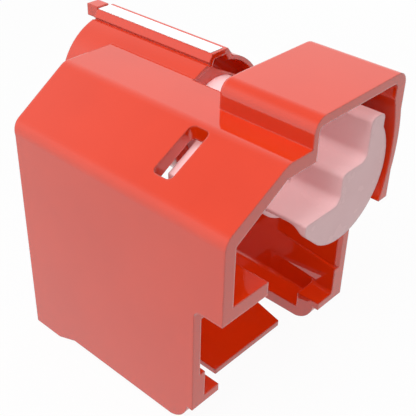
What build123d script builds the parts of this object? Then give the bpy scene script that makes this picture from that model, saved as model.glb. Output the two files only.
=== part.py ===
# Lock that slips over a modular network plug and blocks its latch.
# A red moulded housing carries a white rotor, which a key turns from behind.
#
# Millimetres, +Z up. X runs across the plug and Y from the mouth towards the cable.
# The origin is on the centre line of the body, in the plane of the mouth, level with the foot.

import os

from build123d import *

os.makedirs("parts", exist_ok=True)

# Body of the housing
body_width = 13.7
body_length = 15.4
roof_length = 16.1
side_wall = 0.75
roof_wall = 0.8
fold_z = 14.05
inner_fold_drop = 0.6
flat_z = 16.3
slope_run = 4.25
fold_corner_r = 0.9
slope_corner_r = 1.2

# Foot, rails and spring tongue under the plug
rail_z = 0.6
rail_thickness = 0.77
near_rail_width = 2.1
far_rail_width = 2.4
foot_length = 2.2
foot_ramp = 1.5
shelf_z = 1.98
shelf_thickness = 0.48
lower_front_y = 1.85
riser_y = 3.45
toe_length = 1.2
toe_bulge = 0.3
tongue_near_x = -3.0
tongue_far_x = 2.9
tongue_flare = 1.65
tongue_flare_length = 7.6
tongue_z = 0.66
tongue_thickness = 0.36
tongue_start_y = 3.6
tongue_corner_r = 0.08

# Notch at the mouth and the lip beside the latch
notch_z = 9.05
notch_corner_r = 0.45
lip_width = 3.4
lip_thickness = 0.85
lip_length = 4.4

# Plug guides: a band and a relief on the near wall, a tapered band and a lead-in on the far wall
near_band = 0.2
near_band_top_z = 4.25
near_relief = 0.19
near_relief_top_z = 8.15
near_relief_length = 2.4
far_band = 0.25
far_band_length = 5.1
far_band_top_z = 4.34
far_band_rise = 0.6
far_corner_r = 0.25
far_lead = 0.2

# Hood over the head of the rotor
hood_length = 6.1
hood_width = 7.98
hood_overhang = 0.37
hood_rise = 1.6
hood_skirt = 3.1
hood_step_wall = 0.38
hood_top_wall = 0.52
hood_far_wall = 0.8
hood_relief = 0.54
hood_relief_rise = 3.3
hood_bulge = 0.2
bulge_drop = 1.3
bulge_rise = 2.5
hood_corner_r = 0.8
hood_inner_r = 0.3
hood_rear_r = 0.3
hood_lap = 0.35

# Key tube, keyway ridge and its stop lug, with the sides of the ridge set out from the axis
tube_r = 3.8
tube_drop = 3.2
tube_wall = 0.26
tube_start_y = 9.3
tube_end_y = 18.9
pocket_reach = 2.27
ridge_near = -0.98
ridge_top_near = -0.67
ridge_top_far = 0.6
ridge_far = 0.95
ridge_rise = 0.4
ridge_shoulder = 0.45
ridge_wall = 0.32
lug_length = 0.95
lug_depth = 0.62
lug_rise = 0.12
lug_width = 0.9
shadow_line_depth = 0.1
shadow_line_height = 0.14

# Ward in the front of the tube, with a flat on one side for the bit of the key
ward_recess = 0.15
ward_thickness = 1.0
ward_flat = 2.7
ward_flat_angle = 62.0

# Slot in the slope, over the arm of the rotor
window_inset = 1.23
window_run = 2.86
window_lead = 0.12
window_width = 1.25
window_corner_r = 0.3

# Head of the rotor, set out from the axis
head_start_y = 0.2
head_near = -3.41
low_tread = -1.55
low_riser = -0.45
middle_tread = 0.25
high_riser = 1.7
high_tread = 2.7
head_far = 2.93
head_toe = -2.2
head_arc_across = -0.08
head_arc_up = -0.3
head_arc_r = 3.69
head_arc_start = -124.0
head_arc_sweep = 159.0
near_edge_r = 0.12
toe_r = 0.5
tread_edge_r = 0.35
tread_valley_r = 0.5
scoop_start_y = 0.4
scoop_r = 0.9
low_tread_wall = 0.22
core_r = 3.0

# Shaft of the rotor
flange_r = 3.8
flange_start_y = 3.43
flange_thickness = 0.45
journal_clearance = 0.06
thrust_clearance = 0.12
web_thickness = 0.7
web_lap = 0.1
barrel_r = 2.55
drive_slot_width = 1.0
drive_slot_length = 4.2
drive_slot_depth = 1.1

# Arm of the rotor, close under the slope
arm_width = 1.3
arm_thickness = 0.45
arm_gap = 0.45
arm_elbow_setback = 0.4
arm_tip_setback = 1.8

# Label strip, let into the top of the ridge
strip_width = 0.98
strip_thickness = 0.14
strip_proud = 0.03
strip_clearance = 0.02
strip_margin = 0.05
strip_setback = 0.2

half_width = body_width / 2
inner_near_x = side_wall - half_width
inner_far_x = half_width - side_wall
roof_z = flat_z - roof_wall
slope_end_x = slope_run - half_width
inner_fold_z = fold_z - inner_fold_drop
slope_grade = (flat_z - fold_z) / slope_run
tube_x = half_width - tube_r
tube_z = flat_z - tube_drop
flat_end_x = tube_x - pocket_reach
bore_r = tube_r - tube_wall
ridge_top = tube_r + ridge_rise
ridge_shoulder_top = ridge_top - ridge_shoulder
hood_far_x = half_width + hood_overhang
hood_near_x = hood_far_x - hood_width
hood_top_z = flat_z + hood_rise
hood_bottom_z = tube_z - hood_skirt
hood_relief_top_z = tube_z + hood_relief_rise
journal_r = bore_r - journal_clearance
step_inner_x = hood_near_x + hood_step_wall
hood_inner_x = hood_far_x - hood_far_wall
hood_inner_z = hood_top_z - hood_top_wall
shelf_top_z = shelf_z + shelf_thickness
rail_top_z = rail_z + rail_thickness
floor_start_y = body_length - foot_length - foot_ramp
ward_start_y = tube_start_y + ward_recess
ward_end_y = ward_start_y + ward_thickness
flange_end_y = flange_start_y + flange_thickness
web_start_y = flange_end_y + thrust_clearance
web_end_y = web_start_y + web_thickness
arm_start_y = web_end_y + thrust_clearance
arm_elbow_x = slope_end_x + arm_elbow_setback
arm_tip_x = inner_near_x + arm_tip_setback
window_near_x = window_inset - half_width
window_far_x = window_near_x + window_run
window_start_y = arm_start_y - window_lead
window_end_y = window_start_y + window_width


def across_axis(y):
    """Plane across the axis of the rotor and tube, with its origin on the axis and Y up."""
    return Plane(origin=(tube_x, y, tube_z), x_dir=(1, 0, 0), z_dir=(0, -1, 0))


def side_outline(*top_points):
    """Edges seen from the side: the toe, base and foot of the body, closed over the given points."""
    with BuildLine() as outline:
        toe_y = riser_y - toe_length
        Polyline(top_points[-1], (lower_front_y, shelf_z), (toe_y, shelf_z))
        SagittaArc((toe_y, shelf_z), (riser_y, rail_z), -toe_bulge)
        Polyline(
            (riser_y, rail_z),
            (floor_start_y, rail_z),
            (floor_start_y + foot_ramp, 0),
            (body_length, 0),
            *top_points,
        )
    return outline.edges()


def roof_outline(end_x):
    """Edges of the section through the slope and the flat top, out to the given end."""
    with BuildLine() as outline:
        Polyline(
            (-half_width, inner_fold_z),
            (-half_width, fold_z),
            (slope_end_x, flat_z),
            (end_x, flat_z),
            (end_x, roof_z),
            (slope_end_x, roof_z),
            (inner_near_x, inner_fold_z),
            close=True,
        )
        fillet(outline.vertices().sort_by_distance((-half_width, fold_z))[0], fold_corner_r)
        fillet(outline.vertices().sort_by_distance((slope_end_x, flat_z))[0], slope_corner_r)
    return outline.edges()


with BuildPart() as housing:
    # Near wall with the notch at the mouth
    with BuildSketch(Plane.YZ.offset(-half_width)):
        make_face(
            side_outline(
                (body_length, inner_fold_z),
                (0, inner_fold_z),
                (0, notch_z),
                (lower_front_y, notch_z),
            )
        )
        fillet(vertices().sort_by_distance((lower_front_y, notch_z))[0], notch_corner_r)
    extrude(amount=side_wall)

    # Far wall, up to the hood at the front and to the side of the key tube behind it
    with BuildSketch(Plane.YZ.offset(inner_far_x)):
        make_face(
            side_outline(
                (body_length, tube_z),
                (hood_length, tube_z),
                (hood_length, hood_bottom_z + hood_lap),
                (lower_front_y, hood_bottom_z + hood_lap),
            )
        )
    extrude(amount=side_wall)

    # Rails along both walls
    for rail_x, rail_width in [(-half_width, near_rail_width), (half_width - far_rail_width, far_rail_width)]:
        with BuildSketch(Plane.YZ.offset(rail_x)):
            make_face(
                side_outline(
                    (body_length, rail_top_z),
                    (riser_y, rail_top_z),
                    (riser_y, shelf_top_z),
                    (lower_front_y, shelf_top_z),
                )
            )
        extrude(amount=rail_width)

    # Rear floor, thickened to the foot, and the spring tongue that runs forward from it
    with BuildSketch(Plane.YZ.offset(-half_width)):
        with BuildLine():
            Polyline(
                (floor_start_y, rail_top_z),
                (floor_start_y, rail_z),
                (floor_start_y + foot_ramp, 0),
                (body_length, 0),
                (body_length, rail_top_z),
                close=True,
            )
        make_face()
    extrude(amount=body_width)
    with BuildSketch(Plane.XY.offset(tongue_z)):
        with BuildLine():
            Polyline(
                (tongue_near_x, tongue_start_y),
                (tongue_far_x, tongue_start_y),
                (tongue_far_x + tongue_flare, tongue_start_y + tongue_flare_length),
                (tongue_far_x + tongue_flare, floor_start_y + foot_ramp),
                (tongue_near_x, floor_start_y + foot_ramp),
                close=True,
            )
        make_face()
        fillet(vertices().group_by(Axis.Y)[0], tongue_corner_r)
    extrude(amount=tongue_thickness)

    # Lip across the notch, beside the latch of the plug
    with BuildSketch(Plane.XZ):
        with Locations((-half_width, notch_z)):
            Rectangle(lip_width, lip_thickness, align=(Align.MIN, Align.MIN))
    extrude(amount=-lip_length)

    # Thick band low on the near wall, and the thinner stretch above it
    with BuildSketch(Plane.XZ.offset(-lower_front_y)):
        with Locations((inner_near_x, shelf_z)):
            Rectangle(near_band, near_band_top_z - shelf_z, align=(Align.MIN, Align.MIN))
    extrude(amount=-near_relief_length)
    with BuildSketch(Plane.XZ.offset(-lower_front_y)):
        with Locations((inner_near_x, near_band_top_z)):
            Rectangle(near_relief, near_relief_top_z - near_band_top_z, align=(Align.MAX, Align.MIN))
    extrude(amount=-near_relief_length, mode=Mode.SUBTRACT)

    # Band low on the far wall, which thins and rises to the back
    band_end_y = lower_front_y + far_band_length
    with BuildPart(mode=Mode.PRIVATE) as band:
        with BuildSketch(Plane.YZ.offset(inner_far_x - far_band)):
            with BuildLine():
                Polyline(
                    (lower_front_y, shelf_z),
                    (riser_y, shelf_z),
                    (riser_y, rail_z),
                    (band_end_y, rail_z),
                    (band_end_y, far_band_top_z + far_band_rise),
                    (lower_front_y, far_band_top_z),
                    close=True,
                )
            make_face()
        extrude(amount=far_band)
        with BuildSketch(Plane.XY):
            with BuildLine():
                Polyline(
                    (inner_far_x, lower_front_y),
                    (inner_far_x - far_band, lower_front_y),
                    (inner_far_x, band_end_y),
                    close=True,
                )
            make_face()
        extrude(amount=far_band_top_z + far_band_rise, mode=Mode.INTERSECT)
    add(band.part)

    # Lead-in on the far wall, above the band
    with BuildSketch(Plane.XY.offset(far_band_top_z)):
        with BuildLine():
            Polyline(
                (inner_far_x, lower_front_y),
                (inner_far_x + far_lead, lower_front_y),
                (inner_far_x, lower_front_y + far_lead),
                close=True,
            )
        make_face()
    extrude(amount=hood_bottom_z + hood_lap - far_band_top_z, mode=Mode.SUBTRACT)

    # Round along the foot of the far wall, on the shelf and on the rail
    shelf_corner = (inner_far_x - far_band, (lower_front_y + riser_y) / 2, shelf_top_z)
    fillet(edges().sort_by_distance(shelf_corner)[0], far_corner_r)
    band_corner = (inner_far_x - far_band / 2, (lower_front_y + band_end_y) / 2, rail_top_z)
    wall_corner = (inner_far_x, floor_start_y, rail_top_z)
    rail_corners = [edges().sort_by_distance(corner)[0] for corner in (band_corner, wall_corner)]
    fillet(rail_corners, far_corner_r)

    # Slope and flat top: to the hood, then past it, then into the key tube
    with BuildSketch(Plane.XZ):
        make_face(roof_outline(step_inner_x))
    extrude(amount=-hood_length)
    with BuildSketch(Plane.XZ.offset(-hood_length)):
        make_face(roof_outline(flat_end_x))
    extrude(amount=hood_length - tube_start_y)
    with BuildSketch(Plane.XZ.offset(-tube_start_y)):
        make_face(roof_outline(tube_x))
    extrude(amount=tube_start_y - roof_length)

    # Rear edge of the roof, slanted out from the back of the walls
    with BuildSketch(Plane.YZ.offset(-half_width)):
        with BuildLine():
            Polyline(
                (body_length, 0),
                (body_length, inner_fold_z),
                (roof_length, flat_z),
                (roof_length, 0),
                close=True,
            )
        make_face()
    extrude(amount=body_width, mode=Mode.SUBTRACT)

    # Hood: thin step wall, top and far wall, hollowed for the flange and bulged outside to match
    with BuildSketch(Plane.XZ):
        with BuildLine():
            Polyline(
                (hood_near_x, roof_z),
                (hood_near_x, hood_top_z),
                (hood_far_x, hood_top_z),
                (hood_far_x, tube_z + bulge_rise),
            )
            SagittaArc((hood_far_x, tube_z + bulge_rise), (hood_far_x, tube_z - bulge_drop), hood_bulge)
            Polyline(
                (hood_far_x, tube_z - bulge_drop),
                (hood_far_x, hood_bottom_z),
                (hood_inner_x, hood_bottom_z),
            )
            SagittaArc((hood_inner_x, hood_bottom_z), (hood_inner_x, hood_relief_top_z), -hood_relief)
            Polyline(
                (hood_inner_x, hood_relief_top_z),
                (hood_inner_x, hood_inner_z),
                (step_inner_x, hood_inner_z),
                (step_inner_x, roof_z),
                (hood_near_x, roof_z),
            )
        make_face()
        fillet(vertices().group_by(Axis.Y)[-1], hood_corner_r)
        for inner_corner in [(hood_inner_x, hood_inner_z), (step_inner_x, hood_inner_z)]:
            fillet(vertices().sort_by_distance(inner_corner)[0], hood_inner_r)
    extrude(amount=-hood_length)

    # Rounded outer rim at the back of the hood
    rear_edges = edges(Select.LAST).filter_by_position(Axis.Y, hood_length, hood_length)
    outer_edges = [
        edge
        for edge in rear_edges
        if edge.center().Z > hood_inner_z + web_lap
        or edge.center().X < hood_near_x + web_lap
        or edge.center().X > hood_far_x - web_lap
    ]
    fillet(outer_edges, hood_rear_r)

    # Bearing web behind the flange of the rotor
    with BuildSketch(Plane.XZ.offset(-web_start_y)):
        with Locations((step_inner_x - web_lap, hood_bottom_z)):
            Rectangle(
                hood_inner_x - step_inner_x + 2 * web_lap,
                hood_inner_z - hood_bottom_z + web_lap,
                align=(Align.MIN, Align.MIN),
            )
        with Locations((tube_x, hood_bottom_z)):
            Rectangle(
                hood_inner_x + hood_relief + web_lap - tube_x,
                hood_relief_top_z - hood_bottom_z,
                align=(Align.MIN, Align.MIN),
            )
        with Locations((tube_x, tube_z)):
            Circle(tube_r)
    extrude(amount=-web_thickness)

    # Back wall above the cable way
    with BuildSketch(Plane.XZ.offset(side_wall - body_length)):
        with BuildLine():
            Polyline(
                (inner_near_x - side_wall / 2, hood_bottom_z),
                (inner_near_x - side_wall / 2, inner_fold_z),
                (slope_end_x, roof_z + roof_wall / 2),
                (tube_x, roof_z + roof_wall / 2),
                (tube_x, hood_bottom_z),
                close=True,
            )
        make_face()
    extrude(amount=-side_wall)

    # Key tube, its keyway ridge and the lug at the end of the ridge
    with BuildSketch(across_axis(tube_start_y)):
        Circle(tube_r)
        with BuildLine():
            Polyline(
                (ridge_near, 0),
                (ridge_near, ridge_shoulder_top),
                (ridge_top_near, ridge_top),
                (ridge_top_far, ridge_top),
                (ridge_far, ridge_shoulder_top),
                (ridge_far, 0),
                close=True,
            )
        make_face()
    extrude(amount=tube_start_y - tube_end_y)
    with BuildSketch(across_axis(tube_end_y)):
        with Locations((ridge_top_near, ridge_top - lug_depth)):
            Rectangle(lug_width, lug_depth + lug_rise, align=(Align.MIN, Align.MIN))
    extrude(amount=-lug_length)

    # Shadow line along the foot of the ridge, on both sides
    with BuildSketch(across_axis(tube_start_y)):
        with Locations((ridge_near, ridge_shoulder_top), (ridge_far, ridge_shoulder_top)):
            Rectangle(2 * shadow_line_depth, shadow_line_height, align=(Align.CENTER, Align.MAX))
    extrude(amount=tube_start_y - tube_end_y, mode=Mode.SUBTRACT)

    # Bore of the tube and the web, and the keyway under the ridge
    with BuildSketch(across_axis(web_start_y)):
        Circle(bore_r)
    extrude(amount=web_start_y - tube_end_y, mode=Mode.SUBTRACT)
    with BuildSketch(across_axis(tube_start_y)):
        with BuildLine():
            Polyline(
                (ridge_near + ridge_wall, 0),
                (ridge_near + ridge_wall, ridge_shoulder_top - ridge_wall / 2),
                (ridge_top_near + ridge_wall / 2, ridge_top - ridge_wall),
                (ridge_top_far - ridge_wall / 2, ridge_top - ridge_wall),
                (ridge_far - ridge_wall, ridge_shoulder_top - ridge_wall / 2),
                (ridge_far - ridge_wall, 0),
                close=True,
            )
        make_face()
    extrude(amount=tube_start_y - tube_end_y, mode=Mode.SUBTRACT)

    # Ward, which bears the barrel of the rotor
    with BuildSketch(across_axis(ward_start_y)):
        Circle(bore_r + tube_wall / 2)
        Circle(barrel_r + journal_clearance, mode=Mode.SUBTRACT)
        with Locations(Location((0, 0), ward_flat_angle)):
            with Locations((ward_flat, 0)):
                Rectangle(tube_r, 3 * tube_r, align=(Align.MIN, Align.CENTER), mode=Mode.SUBTRACT)
    extrude(amount=-ward_thickness)

    # Slot in the slope, over the arm of the rotor
    with BuildSketch(Plane.XY.offset(inner_fold_z - inner_fold_drop)):
        with BuildLine():
            Polyline(
                (window_near_x, window_start_y),
                (window_far_x, window_start_y),
                (window_far_x, window_end_y),
                (window_near_x, window_end_y),
                close=True,
            )
        make_face()
        fillet(vertices(), window_corner_r)
    extrude(amount=flat_z - inner_fold_z + inner_fold_drop, mode=Mode.SUBTRACT)

    # Seat for the label strip
    strip_near_x = tube_x + ridge_top_near + strip_margin
    strip_start_y = tube_start_y + strip_setback
    strip_end_y = tube_end_y - strip_margin
    with BuildSketch(Plane.XY.offset(tube_z + ridge_top)):
        with Locations((strip_near_x - strip_clearance, strip_start_y - strip_clearance)):
            Rectangle(
                strip_width + 2 * strip_clearance,
                tube_end_y - strip_start_y + strip_clearance,
                align=(Align.MIN, Align.MIN),
            )
    extrude(amount=strip_proud - strip_thickness, mode=Mode.SUBTRACT)

housing.part.label = "housing"
export_step(housing.part, "parts/housing.step")


stair_points = [
    (high_riser, high_tread),
    (high_riser, middle_tread),
    (low_riser, middle_tread),
    (low_riser, low_tread),
    (head_near, low_tread),
]
stair_radii = [tread_edge_r, tread_valley_r, tread_edge_r, tread_valley_r, near_edge_r]

with BuildPart() as lock_rotor:
    # Stepped head with a round back
    with BuildSketch(across_axis(head_start_y)):
        with BuildLine():
            back = CenterArc((head_arc_across, head_arc_up), head_arc_r, head_arc_start, head_arc_sweep)
            Polyline(back @ 1, (head_far, high_tread), *stair_points, (head_near, head_toe), back @ 0)
        make_face()
        for step_corner, corner_r in [
            ((head_far, high_tread), tread_edge_r),
            *zip(stair_points, stair_radii),
            ((head_near, head_toe), toe_r),
        ]:
            fillet(vertices().sort_by_distance(step_corner)[0], corner_r)
    extrude(amount=head_start_y - flange_start_y)

    # Scoop under the head, which leaves a thin front plate, a core and a thin low tread
    scoop_top_z = tube_z + low_tread - low_tread_wall
    with BuildSketch(Plane.YZ.offset(tube_x + head_near - flange_r)):
        with BuildLine():
            Polyline(
                (scoop_start_y, tube_z - 2 * flange_r),
                (scoop_start_y, scoop_top_z),
                (flange_start_y, scoop_top_z),
                (flange_start_y, tube_z - 2 * flange_r),
                close=True,
            )
        make_face()
        fillet(vertices().sort_by_distance((scoop_start_y, scoop_top_z))[0], scoop_r)
    extrude(amount=2 * flange_r + head_far - head_near, mode=Mode.SUBTRACT)
    with BuildSketch(across_axis(scoop_start_y)):
        Circle(core_r)
        with Locations((0, low_tread - low_tread_wall)):
            Rectangle(4 * flange_r, 4 * flange_r, align=(Align.CENTER, Align.MIN), mode=Mode.SUBTRACT)
    extrude(amount=scoop_start_y - flange_start_y)

    # Flange, cut to the same steps as the head
    with BuildSketch(across_axis(flange_start_y)):
        Circle(flange_r)
        with BuildLine():
            Polyline(
                (head_far + flange_r, high_tread),
                *stair_points,
                (head_near - flange_r, low_tread),
                (head_near - flange_r, -2 * flange_r),
                (head_far + flange_r, -2 * flange_r),
                close=True,
            )
        make_face(mode=Mode.INTERSECT)
    extrude(amount=-flange_thickness)

    # Journal in the bearing web, and the barrel up to the back of the ward
    turned_steps = [
        (flange_end_y, web_end_y + thrust_clearance, journal_r),
        (web_end_y, ward_end_y, barrel_r),
    ]
    for step_start_y, step_end_y, step_r in turned_steps:
        with BuildSketch(across_axis(step_start_y)):
            Circle(step_r)
        extrude(amount=step_start_y - step_end_y)

    # Slot for the key in the rear face
    with BuildSketch(across_axis(ward_end_y)):
        SlotOverall(drive_slot_length, drive_slot_width)
    extrude(amount=drive_slot_depth, mode=Mode.SUBTRACT)

    # Arm: level from the barrel, then down along the slope
    elbow_z = roof_z - arm_gap
    tip_z = elbow_z - (arm_elbow_x - arm_tip_x) * slope_grade
    with BuildSketch(Plane.XZ.offset(-arm_start_y)):
        with BuildLine():
            Polyline(
                (tube_x, elbow_z),
                (arm_elbow_x, elbow_z),
                (arm_tip_x, tip_z),
                (arm_tip_x, tip_z - arm_thickness),
                (arm_elbow_x, elbow_z - arm_thickness),
                (tube_x, elbow_z - arm_thickness),
                close=True,
            )
        make_face()
        fillet(vertices().sort_by_distance((arm_elbow_x, elbow_z))[0], arm_thickness)
    extrude(amount=-arm_width)

lock_rotor.part.label = "lock_rotor"
export_step(lock_rotor.part, "parts/lock_rotor.step")


with BuildPart() as label_strip:
    with BuildSketch(Plane.XY.offset(tube_z + ridge_top + strip_proud - strip_thickness)):
        with Locations((strip_near_x, strip_start_y)):
            Rectangle(strip_width, strip_end_y - strip_start_y, align=(Align.MIN, Align.MIN))
    extrude(amount=strip_thickness)

label_strip.part.label = "label_strip"
export_step(label_strip.part, "parts/label_strip.step")
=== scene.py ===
"""Looks of the plug lock: moulded plastics, a pale studio and the camera of the photograph."""

import bpy
from mathutils import Matrix, Vector


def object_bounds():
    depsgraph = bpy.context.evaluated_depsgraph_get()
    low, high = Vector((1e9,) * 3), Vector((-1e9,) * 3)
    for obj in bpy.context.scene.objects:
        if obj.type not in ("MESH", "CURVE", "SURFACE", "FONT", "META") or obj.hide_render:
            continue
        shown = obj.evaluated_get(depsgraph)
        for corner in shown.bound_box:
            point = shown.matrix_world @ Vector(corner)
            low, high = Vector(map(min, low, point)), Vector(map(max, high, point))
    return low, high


MM = 0.001

# Camera of the photograph, in the frame of the part
CAMERA_PLACE = Vector((-29.13, -18.755, 35.634)) * MM
CAMERA_RIGHT = Vector((0.6771, -0.7356, 0.0233))
CAMERA_UP = Vector((0.3994, 0.3938, 0.8279))
SENSOR_WIDTH = 36.0
FOCAL_LENGTH = 71.15

# Studio
FLOOR_DROP = 0.02 * MM
FLOOR_SIZE = 400 * MM
FLOOR_COLOUR = (0.7, 0.7, 0.7)
SOFT_LIGHT_COLOUR = (1.0, 1.0, 1.0)
SOFT_LIGHT_STRENGTH = 0.345
CEILING_BRIGHTNESS = 0.5
WALL_TOP_HEIGHT = 0.5
CEILING_HEIGHT = 0.82
FLOOR_WHITENING = 0.94

# Lamps: offset from the middle of the object in mm, size in mm, power in watts, casts shadows
LAMPS = {
    "key": ((-64, -6, 100), 70, 0.072, True),
    "fill": ((-28, -14, 114), 70, 0.073, False),
    "side": ((95, 45, 16), 60, 0.045, True),
}

# Colours of the plastics, as linear values
RED = (0.67, 0.034, 0.003)
DEEP_RED = (0.63, 0.03, 0.002)
PALE_ROSE = (0.90, 0.62, 0.63)
WARM_ROSE = (0.87, 0.58, 0.59)
FILM_WHITE = (0.93, 0.93, 0.93)
FILM_GREY = (0.89, 0.89, 0.895)

# Surface of the plastics: features a metre of each noise, and height of the grain
TINT_SCALE = 220.0
GLOSS_SCALE = 900.0
GRAIN_SCALE = 9000.0
GRAIN_HEIGHT = 0.001 * MM
GRAIN_STRENGTH = 0.15

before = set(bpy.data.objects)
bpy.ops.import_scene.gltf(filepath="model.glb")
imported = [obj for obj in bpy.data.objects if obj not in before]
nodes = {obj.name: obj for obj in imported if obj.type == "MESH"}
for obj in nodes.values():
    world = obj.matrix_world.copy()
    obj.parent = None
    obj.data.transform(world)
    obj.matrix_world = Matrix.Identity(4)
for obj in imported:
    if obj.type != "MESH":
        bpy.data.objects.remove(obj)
cad_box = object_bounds()


def node_tree(name):
    """A new material with an empty node tree but for its output: (material, tree, output)."""
    material = bpy.data.materials.new(name)
    material.use_nodes = True
    tree = material.node_tree
    tree.nodes.clear()
    output = tree.nodes.new("ShaderNodeOutputMaterial")
    return material, tree, output


def noise(tree, coordinates, scale, detail):
    """The factor of a noise texture with so many features a metre."""
    texture = tree.nodes.new("ShaderNodeTexNoise")
    texture.inputs["Scale"].default_value = scale
    texture.inputs["Detail"].default_value = detail
    tree.links.new(coordinates, texture.inputs["Vector"])
    return texture.outputs["Fac"]


def spread(tree, factor, low, high):
    """A factor from 0 to 1 spread over the values from low to high."""
    spreader = tree.nodes.new("ShaderNodeMapRange")
    spreader.inputs["From Min"].default_value = 0.3
    spreader.inputs["From Max"].default_value = 0.7
    spreader.inputs["To Min"].default_value = low
    spreader.inputs["To Max"].default_value = high
    tree.links.new(factor, spreader.inputs["Value"])
    return spreader.outputs["Result"]


def moulded_plastic(name, colours, roughness, ior, specular, edge_radius):
    """Moulded plastic: a faint flow tint, uneven gloss, a fine grain and slightly rounded edges."""
    material, tree, output = node_tree(name)
    place = tree.nodes.new("ShaderNodeTexCoord").outputs["Object"]
    shader = tree.nodes.new("ShaderNodeBsdfPrincipled")
    shader.inputs["IOR"].default_value = ior
    shader.inputs["Specular IOR Level"].default_value = specular
    tree.links.new(shader.outputs["BSDF"], output.inputs["Surface"])

    tint = tree.nodes.new("ShaderNodeMix")
    tint.data_type = "RGBA"
    for socket, colour in zip(("A", "B"), colours):
        tint.inputs[socket].default_value = (*colour, 1.0)
    tree.links.new(spread(tree, noise(tree, place, TINT_SCALE, 2.0), 0.0, 1.0), tint.inputs["Factor"])
    tree.links.new(tint.outputs["Result"], shader.inputs["Base Color"])

    gloss = spread(tree, noise(tree, place, GLOSS_SCALE, 3.0), *roughness)
    tree.links.new(gloss, shader.inputs["Roughness"])

    rounding = tree.nodes.new("ShaderNodeBevel")
    rounding.samples = 4
    rounding.inputs["Radius"].default_value = edge_radius
    bump = tree.nodes.new("ShaderNodeBump")
    bump.inputs["Strength"].default_value = GRAIN_STRENGTH
    bump.inputs["Distance"].default_value = GRAIN_HEIGHT
    tree.links.new(noise(tree, place, GRAIN_SCALE, 2.0), bump.inputs["Height"])
    tree.links.new(rounding.outputs["Normal"], bump.inputs["Normal"])
    tree.links.new(bump.outputs["Normal"], shader.inputs["Normal"])
    return material


def seen_by_eye(tree):
    """A factor that is 1 for what the camera sees, also in a reflection or through glass."""
    light_path = tree.nodes.new("ShaderNodeLightPath")
    factor = light_path.outputs["Is Camera Ray"]
    for ray in ("Is Glossy Ray", "Is Transmission Ray"):
        either = tree.nodes.new("ShaderNodeMath")
        either.operation = "MAXIMUM"
        tree.links.new(factor, either.inputs[0])
        tree.links.new(light_path.outputs[ray], either.inputs[1])
        factor = either.outputs["Value"]
    return factor


def paint(node, material):
    """Gives every slot of a node the material."""
    for slot in nodes[node].material_slots:
        slot.material = material


red_plastic = moulded_plastic(
    "red_plastic", (RED, DEEP_RED), roughness=(0.01, 0.03), ior=1.7, specular=0.63, edge_radius=0.12 * MM
)
white_plastic = moulded_plastic(
    "white_plastic",
    (PALE_ROSE, WARM_ROSE),
    roughness=(0.2, 0.3),
    ior=1.5,
    specular=0.08,
    edge_radius=0.15 * MM,
)
strip_film = moulded_plastic(
    "strip_film", (FILM_WHITE, FILM_GREY), roughness=(0.5, 0.6), ior=1.5, specular=0.24, edge_radius=0.03 * MM
)
paint("housing", red_plastic)
paint("lock_rotor", white_plastic)
paint("label_strip", strip_film)


# Floor: pale, white to the camera where no shadow falls
low_corner, high_corner = cad_box
middle = (Vector(low_corner) + Vector(high_corner)) / 2
floor_place = (middle.x, middle.y, low_corner[2] - FLOOR_DROP)
bpy.ops.mesh.primitive_plane_add(size=FLOOR_SIZE, location=floor_place)
floor = bpy.context.object
floor.name = "floor"
floor_material, tree, output = node_tree("floor")
paper = tree.nodes.new("ShaderNodeBsdfDiffuse")
paper.inputs["Color"].default_value = (*FLOOR_COLOUR, 1.0)
white_light = tree.nodes.new("ShaderNodeEmission")
whitening = tree.nodes.new("ShaderNodeMath")
whitening.operation = "MULTIPLY"
whitening.inputs[1].default_value = FLOOR_WHITENING
tree.links.new(seen_by_eye(tree), whitening.inputs[0])
floor_mix = tree.nodes.new("ShaderNodeMixShader")
tree.links.new(whitening.outputs["Value"], floor_mix.inputs["Fac"])
tree.links.new(paper.outputs["BSDF"], floor_mix.inputs[1])
tree.links.new(white_light.outputs["Emission"], floor_mix.inputs[2])
tree.links.new(floor_mix.outputs["Shader"], output.inputs["Surface"])
floor.data.materials.append(floor_material)

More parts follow.
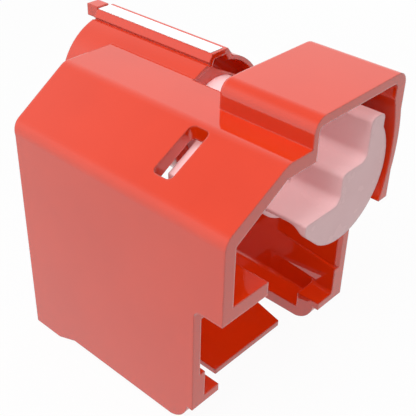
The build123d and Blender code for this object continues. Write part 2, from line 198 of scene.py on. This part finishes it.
# World: even soft light; what is seen of it is white, and dimmer overhead
world = bpy.data.worlds.new("studio")
bpy.context.scene.world = world
world.use_nodes = True
tree = world.node_tree
tree.nodes.clear()
output = tree.nodes.new("ShaderNodeOutputWorld")
soft_light = tree.nodes.new("ShaderNodeBackground")
soft_light.inputs["Color"].default_value = (*SOFT_LIGHT_COLOUR, 1.0)
soft_light.inputs["Strength"].default_value = SOFT_LIGHT_STRENGTH
white_walls = tree.nodes.new("ShaderNodeBackground")
white_walls.inputs["Color"].default_value = (1.0, 1.0, 1.0, 1.0)
direction = tree.nodes.new("ShaderNodeSeparateXYZ")
tree.links.new(tree.nodes.new("ShaderNodeTexCoord").outputs["Generated"], direction.inputs["Vector"])
brightness = tree.nodes.new("ShaderNodeMapRange")
brightness.inputs["From Min"].default_value = WALL_TOP_HEIGHT
brightness.inputs["From Max"].default_value = CEILING_HEIGHT
brightness.inputs["To Min"].default_value = 1.0
brightness.inputs["To Max"].default_value = CEILING_BRIGHTNESS
tree.links.new(direction.outputs["Z"], brightness.inputs["Value"])
tree.links.new(brightness.outputs["Result"], white_walls.inputs["Strength"])
world_mix = tree.nodes.new("ShaderNodeMixShader")
tree.links.new(seen_by_eye(tree), world_mix.inputs["Fac"])
tree.links.new(soft_light.outputs["Background"], world_mix.inputs[1])
tree.links.new(white_walls.outputs["Background"], world_mix.inputs[2])
tree.links.new(world_mix.outputs["Shader"], output.inputs["Surface"])


def area_light(name, offset, size, power, casts_shadow):
    """A square lamp that looks at the middle of the object; it shows in no reflection."""
    lamp = bpy.data.lights.new(name, "AREA")
    lamp.size = size
    lamp.energy = power
    lamp.use_shadow = casts_shadow
    holder = bpy.data.objects.new(name, lamp)
    holder.location = middle + offset
    holder.rotation_euler = (-offset).to_track_quat("-Z", "Y").to_euler()
    holder.visible_glossy = False
    bpy.context.collection.objects.link(holder)


for lamp_name, (offset_mm, size_mm, watts, casts_shadow) in LAMPS.items():
    area_light(lamp_name, Vector(offset_mm) * MM, size_mm * MM, watts, casts_shadow)

# Camera
camera_data = bpy.data.cameras.new("photo_camera")
camera_data.sensor_width = SENSOR_WIDTH
camera_data.lens = FOCAL_LENGTH
camera_data.clip_start = 1 * MM
camera_data.clip_end = 10.0
camera = bpy.data.objects.new("photo_camera", camera_data)
back = CAMERA_RIGHT.cross(CAMERA_UP)
camera.matrix_world = Matrix(
    [(*row, place) for row, place in zip(zip(CAMERA_RIGHT, CAMERA_UP, back), CAMERA_PLACE)]
    + [(0.0, 0.0, 0.0, 1.0)]
)
bpy.context.collection.objects.link(camera)
bpy.context.scene.camera = camera
bpy.context.scene.view_settings.view_transform = "Standard"
